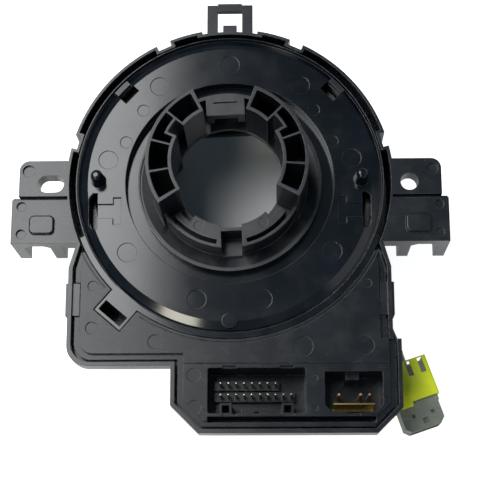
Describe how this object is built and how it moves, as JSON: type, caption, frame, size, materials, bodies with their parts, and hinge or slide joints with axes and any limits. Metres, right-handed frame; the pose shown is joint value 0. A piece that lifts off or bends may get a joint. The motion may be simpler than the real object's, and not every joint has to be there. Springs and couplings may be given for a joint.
{
  "type": "steering clock spring",
  "caption": "Steering clock spring: a round case with two mounting ears and connector sockets, and a ribbed hub sleeve that turns in it and winds a flat cable.",
  "frame": {"origin": "on the rotor's axis, at the front face of the rotor's boss, the plane that the part lies on", "axes": "+Z along the steering column from the rotor's boss through the hub sleeve; +Y towards the harness loop; -Y towards the connector box"},
  "size_m": [0.136, 0.1384, 0.0554],
  "materials": {
    "case_plastic": "fine satin moulding",
    "cover_plastic": "polished dish with a soft gloss",
    "housing_plastic": "fine satin moulding",
    "rotor_plastic": "satin",
    "hub_plastic": "satin, light on its moulded edges",
    "terminal_metal": "tinned and bright",
    "shunt_metal": "gold-coloured spring strip",
    "ribbon": "smooth film",
    "roller_plastic": "natural nylon",
    "slip_film": "smooth film",
    "tube_rubber": "dull",
    "green_insulation": "smooth",
    "white_insulation": "smooth",
    "plug_grey": "satin",
    "plug_yellow": "satin gloss"
  },
  "bodies": {
    "stator": {"stator_case": "case_plastic", "dish_cover": "cover_plastic", "terminal_housing": "housing_plastic", "main_terminals": "terminal_metal", "srs_terminals": "terminal_metal", "shorting_bar": "shunt_metal", "stator_lead_block": "roller_plastic", "outer_cable": "ribbon"},
    "rotor_body": {"rotor": "rotor_plastic", "hub_sleeve": "hub_plastic", "slip_sheet": "slip_film", "switch_terminals": "terminal_metal", "inner_cable": "ribbon", "lead_tube": "tube_rubber", "green_wire": "green_insulation", "white_wire": "white_insulation", "plug_body": "plug_grey", "plug_terminals": "terminal_metal"},
    "carrier": {"roller_carrier": "roller_plastic", "cable_turn": "ribbon"},
    "sleeve": {"plug_sleeve": "plug_yellow"},
    "roller_1": {"roller_1": "roller_plastic"},
    "roller_2": {"roller_2": "roller_plastic"},
    "roller_3": {"roller_3": "roller_plastic"},
    "roller_4": {"roller_4": "roller_plastic"},
    "roller_5": {"roller_5": "roller_plastic"},
    "roller_6": {"roller_6": "roller_plastic"}
  },
  "joints": [
    {"name": "wheel_turn", "type": "hinge", "parent": "stator", "child": "rotor_body", "pos_m": [0, 0, 0.016], "axis": [0, 0, 1], "range_deg": [-900, 900]},
    {"name": "carrier_turn", "type": "hinge", "parent": "stator", "child": "carrier", "pos_m": [0, 0, 0.016], "axis": [0, 0, 1], "range_deg": [-363, 363]},
    {"name": "roller_1_spin", "type": "hinge", "parent": "carrier", "child": "roller_1", "pos_m": [0.03109, 0.01795, 0.02], "axis": [0, 0, 1], "range_deg": [-2415, 2415]},
    {"name": "roller_2_spin", "type": "hinge", "parent": "carrier", "child": "roller_2", "pos_m": [0, 0.0359, 0.02], "axis": [0, 0, 1], "range_deg": [-2415, 2415]},
    {"name": "roller_3_spin", "type": "hinge", "parent": "carrier", "child": "roller_3", "pos_m": [-0.03109, 0.01795, 0.02], "axis": [0, 0, 1], "range_deg": [-2415, 2415]},
    {"name": "roller_4_spin", "type": "hinge", "parent": "carrier", "child": "roller_4", "pos_m": [-0.03109, -0.01795, 0.02], "axis": [0, 0, 1], "range_deg": [-2415, 2415]},
    {"name": "roller_5_spin", "type": "hinge", "parent": "carrier", "child": "roller_5", "pos_m": [0, -0.0359, 0.02], "axis": [0, 0, 1], "range_deg": [-2415, 2415]},
    {"name": "roller_6_spin", "type": "hinge", "parent": "carrier", "child": "roller_6", "pos_m": [0.03109, -0.01795, 0.02], "axis": [0, 0, 1], "range_deg": [-2415, 2415]},
    {"name": "sleeve_slide", "type": "slide", "parent": "rotor_body", "child": "sleeve", "axis": [-0.3256, 0.9455, 0], "range_m": [0, 0.003], "stiffness_N_per_m": 400, "springref_m": -0.001}
  ],
  "couplings": [
    {"joint": "carrier_turn", "follows": "wheel_turn", "ratio": 0.4025},
    {"joint": "roller_1_spin", "follows": "wheel_turn", "ratio": -2.6771},
    {"joint": "roller_2_spin", "follows": "wheel_turn", "ratio": -2.6771},
    {"joint": "roller_3_spin", "follows": "wheel_turn", "ratio": -2.6771},
    {"joint": "roller_4_spin", "follows": "wheel_turn", "ratio": -2.6771},
    {"joint": "roller_5_spin", "follows": "wheel_turn", "ratio": -2.6771},
    {"joint": "roller_6_spin", "follows": "wheel_turn", "ratio": -2.6771}
  ]
}
